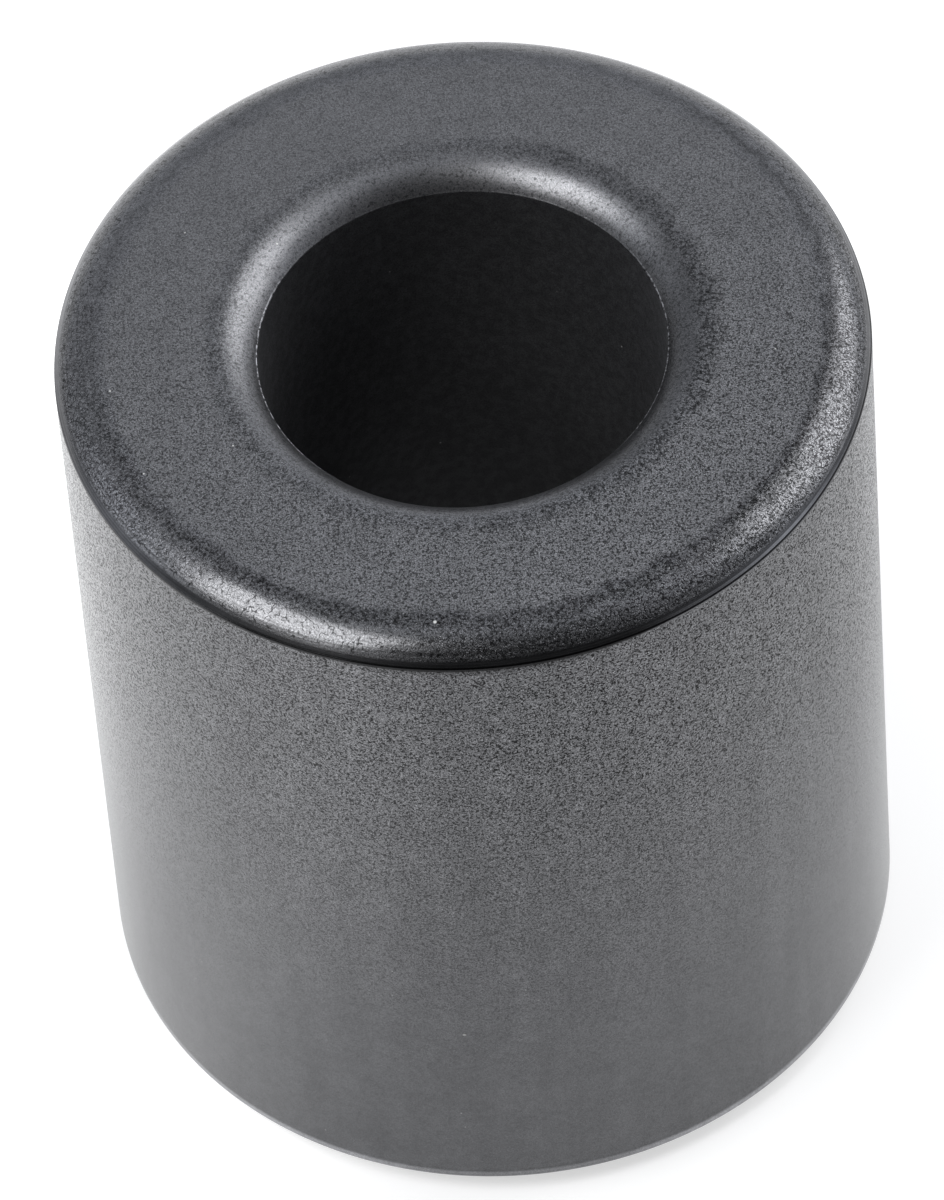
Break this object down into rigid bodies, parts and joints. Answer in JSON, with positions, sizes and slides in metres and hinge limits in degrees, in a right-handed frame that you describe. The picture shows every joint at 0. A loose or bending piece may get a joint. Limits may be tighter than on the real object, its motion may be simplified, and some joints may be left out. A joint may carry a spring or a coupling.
{
  "type": "ferrite ring core",
  "caption": "Thick-walled ferrite sleeve with a round cable bore and softly rounded rims, slipped over a cable to choke high-frequency noise.",
  "frame": {"origin": "centre of the lower end face, which the core stands on", "axes": "+Z along the bore axis, towards the upper end face; the core is round about it"},
  "size_m": [0.026, 0.0258, 0.0284],
  "materials": {
    "ferrite": "bare sintered ferrite, dark grey, fine grained and slightly glossy"
  },
  "bodies": {
    "root": {"ring_core": "ferrite"}
  },
  "joints": []
}
